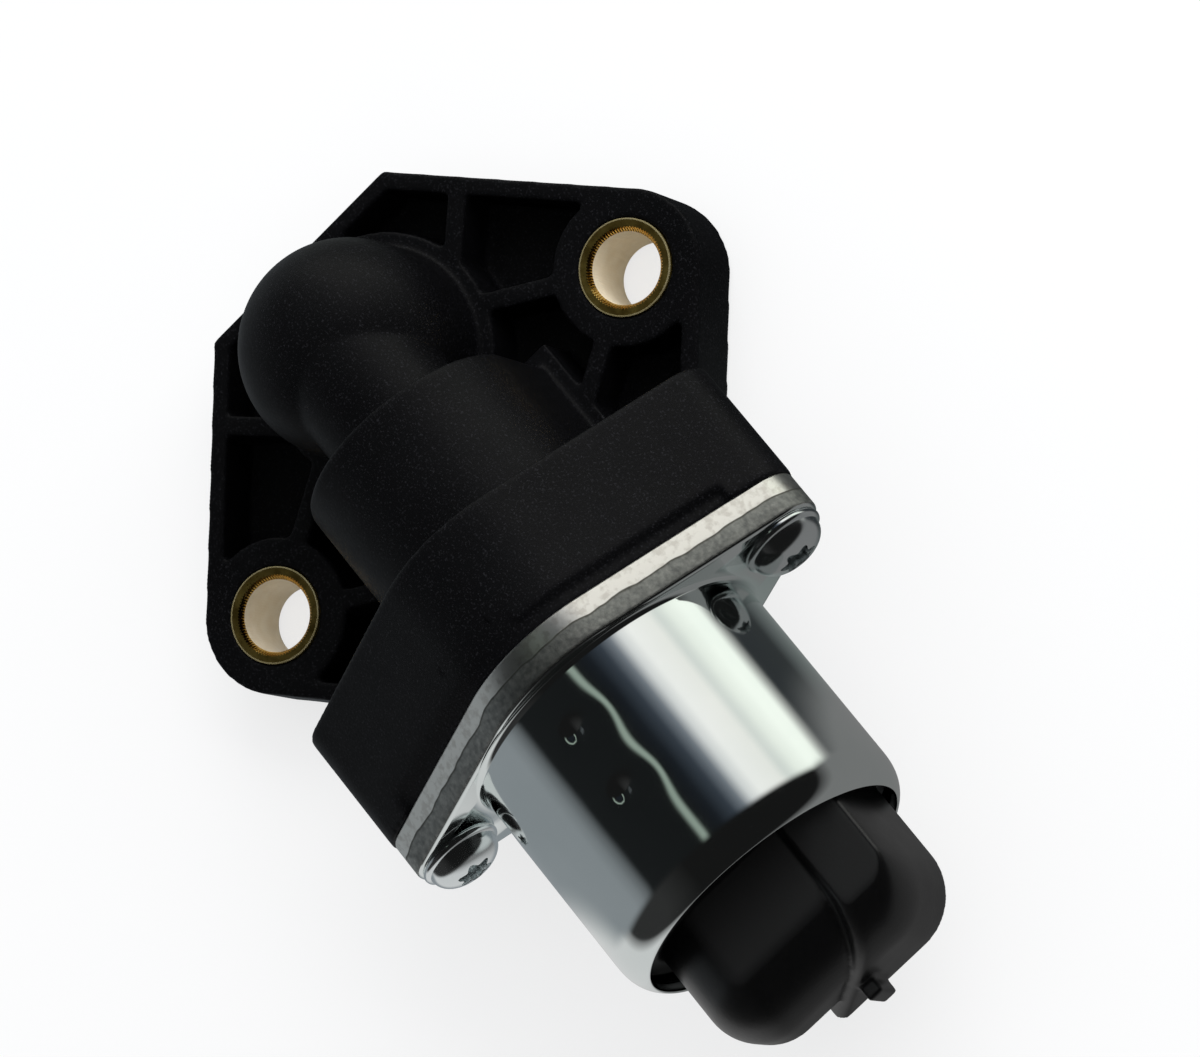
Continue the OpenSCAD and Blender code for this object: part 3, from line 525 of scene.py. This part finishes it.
def sheared_edge(name):
    """Burnished in the half next to the moulding, torn and grey in front of a wavy line."""
    material, tree, shader = new_tree(name)
    coords = object_coords(tree)
    shader.inputs["Metallic"].default_value = 1.0
    split = tree.nodes.new("ShaderNodeSeparateXYZ")
    tree.links.new(coords, split.inputs[0])
    place = tree.nodes.new("ShaderNodeMath")
    place.operation = "SUBTRACT"
    place.inputs[1].default_value = STEEL_X
    tree.links.new(split.outputs["X"], place.inputs[0])
    wave = spread(tree, noise(tree, coords, 170.0, 2.0), 0.0018, 0.0025)
    past = tree.nodes.new("ShaderNodeMath")
    past.operation = "SUBTRACT"
    tree.links.new(place.outputs[0], past.inputs[0])
    tree.links.new(wave, past.inputs[1])
    torn = spread(tree, past.outputs[0], 0, 1, -0.00006, 0.00006)
    line = spread(tree, past.outputs[0], 1, 0, 0.0, 0.00028)
    near = tree.nodes.new("ShaderNodeMath")
    near.operation = "MULTIPLY"
    tree.links.new(torn, near.inputs[0])
    tree.links.new(line, near.inputs[1])
    grey = tint(tree, spread(tree, noise(tree, coords, 1500.0, 4.0), 0, 1), (0.34, 0.35, 0.34), (0.62, 0.63, 0.60))
    pick = tree.nodes.new("ShaderNodeMix")
    pick.data_type = "RGBA"
    tree.links.new(torn, pick.inputs["Factor"])
    tree.links.new(tint(tree, spread(tree, noise(tree, coords, 1100.0, 4.0), 0, 1, 0.36, 0.52), (0.74, 0.72, 0.67),
                        (0.92, 0.91, 0.86)), pick.inputs["A"])
    tree.links.new(grey, pick.inputs["B"])
    mark = tree.nodes.new("ShaderNodeMix")
    mark.data_type = "RGBA"
    tree.links.new(near.outputs[0], mark.inputs["Factor"])
    tree.links.new(pick.outputs["Result"], mark.inputs["A"])
    mark.inputs["B"].default_value = (0.10, 0.09, 0.07, 1)
    tree.links.new(mark.outputs["Result"], shader.inputs["Base Color"])
    tree.links.new(spread(tree, torn, 0.34, 0.60, 0, 1), shader.inputs["Roughness"])
    rough = tree.nodes.new("ShaderNodeMath")
    rough.operation = "MULTIPLY"
    tree.links.new(noise(tree, coords, 1300.0, 5.0), rough.inputs[0])
    tree.links.new(spread(tree, torn, 0.25, 1.0, 0, 1), rough.inputs[1])
    relief(tree, shader, rough.outputs[0], 0.00006)
    return material


zinc = plated_steel("zinc_plating", (0.76, 0.81, 0.80), (0.82, 0.86, 0.85), 0.06, 0.09, 0.0000008)
cut_zinc = sheared_edge("sheared_zinc")
dents = [(0.0465, -4, 0.00050, 0.0011), (0.0551, -4, 0.00050, 0.0011), (0.0445, 69, 0.0002, 0.0013),
         (0.0445, -77, 0.0002, 0.0013), (0.0469, 0.5, 0.00021, 0.0026), (0.0556, 0.5, 0.00021, 0.0026)]
mesh = bmesh.new()
profile = []
for step in range(9):
    turn = math.radians(90 * step / 8)
    profile.append((CAN_X + ROOT_R * (1 - math.cos(turn)), CAN_R + ROOT_R * (1 - math.sin(turn))))
WALL_ROWS, ROLL, ROLL_LENGTH, ROLL_STEPS = 64, math.radians(52), 0.0050, 24
roll, x, r = [], 0.0, 0.0
for step in range(ROLL_STEPS):
    turn = ROLL * ((step + 0.5) / ROLL_STEPS) ** 1.6
    x += ROLL_LENGTH / ROLL_STEPS * math.cos(turn)
    r += ROLL_LENGTH / ROLL_STEPS * math.sin(turn)
    roll.append((x, r))
shoulder_x = CAN_END - 0.00004 - x
mouth_edge = CAN_R - r
for step in range(1, WALL_ROWS + 1):
    profile.append((CAN_X + ROOT_R + (shoulder_x - CAN_X - ROOT_R) * step / WALL_ROWS, CAN_R))
profile += [(shoulder_x + along, CAN_R - inward) for along, inward in roll]
for along, inward in ((0.00002, 0.00003), (0.00004, 0.00008), (0.00002, 0.00014), (-0.00010, 0.0002)):
    profile.append((CAN_END - 0.00004 + along, mouth_edge - inward))
for along, inward in reversed(roll[3::3]):
    profile.append((shoulder_x + along - 0.0008, CAN_R - inward - 0.0006))
profile.append((STEEL_X, CAN_R - 0.001))
turn_x(mesh, profile, 320)
edge = [flange_ring(mesh, STEEL_X, 0.0001), flange_ring(mesh, STEEL_X + 0.0002, 0.0)]
for step in range(7):
    turn = math.radians(90 * step / 6)
    edge.append(flange_ring(mesh, CAN_X - 0.0006 * (1 - math.sin(turn)), 0.0006 * (1 - math.cos(turn))))
for number, (low, high) in enumerate(zip(edge, edge[1:])):
    join_rings(mesh, low, high, 1 if number < 4 else 0)
for side in (-1, 1):
    turn_x(mesh, ((STEEL_X, 0.0027), (CAN_X, 0.0027)), 48, side * SCREW_Y)
fill_between(mesh, CAN_X)
fill_between(mesh, STEEL_X)
for vert in mesh.verts:
    y, z = vert.co.y, vert.co.z - AXIS_Z
    if math.hypot(y, z) < CAN_R - 0.0002 or vert.co.x < CAN_X + 0.001:
        continue
    for x, degrees, depth, reach in dents:
        across = math.atan2(y, z) - math.radians(degrees)
        away = math.hypot(vert.co.x - x, CAN_R * across)
        dip = depth * math.exp(-(away / reach) ** 2)
        vert.co.y -= dip * y / CAN_R
        vert.co.z -= dip * z / CAN_R
drawn_can = new_piece("drawn_can", mesh, "motor_can", [zinc, cut_zinc])


# Two pan head screws with a collar, a domed head with a raised rim, and a worn six lobe recess.
screw_zinc = plated_steel("screw_zinc", (0.72, 0.77, 0.78), (0.84, 0.87, 0.87), 0.10, 0.22, 0.000003, 700.0)
for name, node, side, twist in (("pan_screw_left", "screw_left", -1, 12), ("pan_screw_right", "screw_right", 1, 35)):
    mesh = bmesh.new()
    profile = [(-0.016, 0), (-0.016, 0.0021), (-0.0156, 0.0025), (-0.0002, 0.0025), (0, 0.0027), (0, 0.0047)]
    profile += [(0.0009 * share, 0.0047 + 0.0002 * math.sin(math.pi * share)) for share in (0.15, 0.3, 0.5, 0.7, 0.85)]
    profile += [(0.0009, 0.0046), (0.00098, 0.00438)]
    for step in range(1, 12):
        turn = math.radians(90 * step / 12)
        profile.append((0.00098 + 0.0023 * math.sin(turn), 0.0012 + 0.00315 * math.cos(turn)))
    profile += [(0.00332, 0.00118), (0.0034, 0.0006), (0.0034, 0)]
    turn_x(mesh, [(CAN_X + along, r) for along, r in profile], 96, side * SCREW_Y)
    cutter = bmesh.new()
    lobes = []
    for x, grow in ((0.0016, 0.0), (0.0031, 0.00004), (0.0045, 0.0005)):
        ring = []
        for i in range(72):
            angle = 2 * math.pi * i / 72 + math.radians(twist)
            r = 0.00188 + grow + 0.00038 * math.cos(6 * (angle - math.radians(twist)))
            ring.append((CAN_X + x, side * SCREW_Y + r * math.cos(angle), AXIS_Z + r * math.sin(angle)))
        lobes.append(ring_of(cutter, ring))
    join_rings(cutter, lobes[0], lobes[1])
    join_rings(cutter, lobes[1], lobes[2])
    for ring in (lobes[0], lobes[2]):
        bmesh.ops.contextual_create(cutter, geom=loop_edges(cutter, ring))
    blank = cut_out(name, mesh, cutter)
    mesh = bmesh.new()
    mesh.from_mesh(blank)
    screw = new_piece(name, mesh, node, [screw_zinc])
    screw.data.set_sharp_from_angle(angle=math.radians(35))


# Brass sleeves: an olive gold face with turning marks, fine teeth in the mouth's chamfer from the knurling
# tool, and a bore that is bright and pale: partly the brass's colour, partly a painted reflection of the card.
def turned_face(name, first, second, low, high, grain, metal):
    material, tree, shader = new_tree(name)
    coords = object_coords(tree)
    shader.inputs["Metallic"].default_value = metal
    tree.links.new(tint(tree, spread(tree, noise(tree, coords, 700.0), 0, 1), first, second),
                   shader.inputs["Base Color"])
    tree.links.new(spread(tree, noise(tree, coords, 1500.0), low, high), shader.inputs["Roughness"])
    relief(tree, shader, noise(tree, coords, 2500.0, 4.0), grain)
    return material


sleeve_face = turned_face("sleeve_face", (0.075, 0.050, 0.008), (0.17, 0.125, 0.028), 0.24, 0.38, 0.00003, 0.70)
# The bore is pale cream and nearly diffuse: a brass tint with a painted reflection of the white card in it.
sleeve_bore_painted_reflection = turned_face("sleeve_bore_painted_reflection", (0.86, 0.75, 0.56), (0.92, 0.83, 0.66), 0.38, 0.50, 0.000003, 0.10)
sleeve_rim = turned_face("sleeve_rim", (0.78, 0.64, 0.30), (0.88, 0.75, 0.42), 0.14, 0.24, 0.000004, 0.8)
sleeve_teeth = turned_face("sleeve_teeth", (0.50, 0.30, 0.07), (0.66, 0.46, 0.15), 0.10, 0.18, 0.000004, 1.0)
SLEEVE_TOP, SLEEVE_R, BORE_R, TEETH = 0.00935, 0.00565, 0.0042, 84
for name, node, side in (("turned_sleeve_left", "sleeve_left", -1), ("turned_sleeve_right", "sleeve_right", 1)):
    mesh = bmesh.new()
    rows = [(0.0, BORE_R, 0), (0.0, 0.0055, 0), (0.00015, SLEEVE_R, 0), (SLEEVE_TOP - 0.00014, SLEEVE_R, 2),
            (SLEEVE_TOP - 0.00004, 0.00562, 2), (SLEEVE_TOP, 0.00553, 2), (SLEEVE_TOP - 0.00002, 0.00545, 0),
            (SLEEVE_TOP - 0.00004, 0.00468, 0), (SLEEVE_TOP - 0.00012, 0.00460, 2), (SLEEVE_TOP - 0.00055, 0.00436, 2),
            (SLEEVE_TOP - 0.00068, BORE_R, 1)]
    line = [mesh.verts.new((r, side * 0.0288, z)) for z, r, material in rows]
    edges = [mesh.edges.new(pair) for pair in zip(line, line[1:] + line[:1])]
    bmesh.ops.spin(mesh, geom=line + edges, cent=(0, side * 0.0288, 0), axis=(0, 0, 1), angle=2 * math.pi,
                   steps=TEETH * 6, use_merge=True)
    for face in mesh.faces:
        centre = face.calc_center_median()
        r = math.hypot(centre.x, centre.y - side * 0.0288)
        if r < 0.00425:
            face.material_index = 1
        elif r > 0.00547 and centre.z > SLEEVE_TOP - 0.0002:
            face.material_index = 2
        elif r < 0.00465 and centre.z > SLEEVE_TOP - 0.0009:
            face.material_index = 3
    for vert in mesh.verts:
        x, y = vert.co.x, vert.co.y - side * 0.0288
        r = math.hypot(x, y)
        if 0.0043 < r < 0.0047 and vert.co.z > 0.005:
            tooth = round(math.degrees(math.atan2(y, x)) * TEETH * 6 / 360) % 6
            grow = 1 + (-0.00009 if tooth < 3 else 0.00005) / r
            vert.co.x, vert.co.y = x * grow, side * 0.0288 + y * grow
    sleeve = new_piece(name, mesh, node, [sleeve_face, sleeve_bore_painted_reflection, sleeve_rim, sleeve_teeth])
    sleeve.data.set_sharp_from_angle(angle=math.radians(40))

brass = plated_steel("turned_brass", (0.60, 0.47, 0.16), (0.74, 0.60, 0.26), 0.2, 0.35, 0.000004)
dress(nodes["rotor_hub"], brass)

rubber = moulded_plastic("seal_rubber", (0.010, 0.010, 0.010), (0.016, 0.016, 0.016), 0.6, 0.75)
for name in ("port_seal_inlet", "port_seal_outlet", "nose_seal"):
    dress(nodes[name], rubber)

plain = plated_steel("plain_steel", (0.42, 0.42, 0.43), (0.52, 0.52, 0.53), 0.3, 0.45, 0.000004)
for name in ("motor_nose", "pole_cup_front", "pole_cup_rear", "pole_plate", "bearing_outer_ring",
             "bearing_inner_ring", "bearing_balls", "spindle", "pintle_spring"):
    dress(nodes[name], plain)

bronze = plated_steel("sintered_bronze", (0.42, 0.28, 0.12), (0.52, 0.36, 0.18), 0.4, 0.55, 0.00001)
for name in ("guide_bush", "rear_bush"):
    dress(nodes[name], bronze)

tin = plated_steel("tinned_brass", (0.66, 0.64, 0.58), (0.74, 0.72, 0.66), 0.25, 0.35, 0.000004)
for name in ("terminal_1", "terminal_2", "terminal_3", "terminal_4"):
    dress(nodes[name], tin)

copper = plated_steel("enamelled_copper", (0.55, 0.22, 0.08), (0.66, 0.30, 0.12), 0.3, 0.4, 0.00001)
for name in ("winding_front", "winding_rear"):
    dress(nodes[name], copper)

nylon = moulded_plastic("natural_nylon", (0.66, 0.62, 0.52), (0.72, 0.68, 0.58), 0.4, 0.5)
for name in ("bobbin_front", "bobbin_rear"):
    dress(nodes[name], nylon)

ferrite = moulded_plastic("ground_ferrite", (0.05, 0.05, 0.055), (0.08, 0.08, 0.085), 0.4, 0.6)
dress(nodes["rotor_magnet"], ferrite)
dress(nodes["pintle"], body_black)

white_to_camera(card_tree, card_shader.outputs[0], card_tree.nodes["Material Output"].inputs["Surface"])
